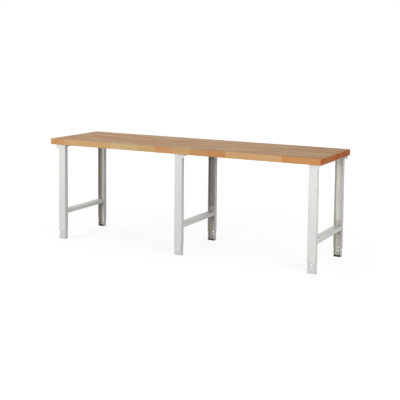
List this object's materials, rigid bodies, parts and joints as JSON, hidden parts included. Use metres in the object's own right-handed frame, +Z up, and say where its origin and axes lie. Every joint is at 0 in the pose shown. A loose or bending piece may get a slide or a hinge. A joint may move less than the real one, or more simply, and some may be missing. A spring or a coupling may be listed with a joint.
{
  "type": "modular workbench",
  "caption": "Long workbench: a solid wood worktop on welded H frames of bent sheet steel, whose channel feet slide in the legs and bolt at rows of holes to set the height.",
  "frame": {"origin": "on the floor, straight under the middle of the worktop", "axes": "+X along the worktop's length to the right, +Y from the front edge to the rear, +Z up"},
  "size_m": [2.5, 0.7, 0.89],
  "materials": {
    "beech": "oiled solid beech, butt-joined lamellas",
    "frame_paint": "light grey powder coat, fine texture",
    "foot_paint": "light grey powder coat, fine texture",
    "glide_plastic": "black moulded plastic",
    "zinc": "bright zinc plate"
  },
  "bodies": {
    "bench": {"worktop": "beech", "left_front_leg": "frame_paint", "left_rear_leg": "frame_paint", "middle_front_leg": "frame_paint", "middle_rear_leg": "frame_paint", "right_front_leg": "frame_paint", "right_rear_leg": "frame_paint", "left_front_foot_bolts": "zinc", "left_rear_foot_bolts": "zinc", "middle_front_foot_bolts": "zinc", "middle_rear_foot_bolts": "zinc", "right_front_foot_bolts": "zinc", "right_rear_foot_bolts": "zinc", "left_stretcher": "frame_paint", "middle_stretcher": "frame_paint", "right_stretcher": "frame_paint", "left_top_rail": "frame_paint", "middle_top_rail": "frame_paint", "right_top_rail": "frame_paint", "left_worktop_brackets": "frame_paint", "middle_worktop_brackets": "frame_paint", "right_worktop_brackets": "frame_paint", "left_worktop_screws": "zinc", "middle_worktop_screws": "zinc", "right_worktop_screws": "zinc"},
    "left_front_foot_unit": {"left_front_foot": "foot_paint", "left_front_glide": "glide_plastic"},
    "left_rear_foot_unit": {"left_rear_foot": "foot_paint", "left_rear_glide": "glide_plastic"},
    "middle_front_foot_unit": {"middle_front_foot": "foot_paint", "middle_front_glide": "glide_plastic"},
    "middle_rear_foot_unit": {"middle_rear_foot": "foot_paint", "middle_rear_glide": "glide_plastic"},
    "right_front_foot_unit": {"right_front_foot": "foot_paint", "right_front_glide": "glide_plastic"},
    "right_rear_foot_unit": {"right_rear_foot": "foot_paint", "right_rear_glide": "glide_plastic"}
  },
  "joints": [
    {"name": "left_front_foot_slide", "type": "slide", "parent": "bench", "child": "left_front_foot_unit", "axis": [0, 0, -1], "range_m": [-0.05, 0.15]},
    {"name": "left_rear_foot_slide", "type": "slide", "parent": "bench", "child": "left_rear_foot_unit", "axis": [0, 0, -1], "range_m": [-0.05, 0.15]},
    {"name": "middle_front_foot_slide", "type": "slide", "parent": "bench", "child": "middle_front_foot_unit", "axis": [0, 0, -1], "range_m": [-0.05, 0.15]},
    {"name": "middle_rear_foot_slide", "type": "slide", "parent": "bench", "child": "middle_rear_foot_unit", "axis": [0, 0, -1], "range_m": [-0.05, 0.15]},
    {"name": "right_front_foot_slide", "type": "slide", "parent": "bench", "child": "right_front_foot_unit", "axis": [0, 0, -1], "range_m": [-0.05, 0.15]},
    {"name": "right_rear_foot_slide", "type": "slide", "parent": "bench", "child": "right_rear_foot_unit", "axis": [0, 0, -1], "range_m": [-0.05, 0.15]}
  ]
}
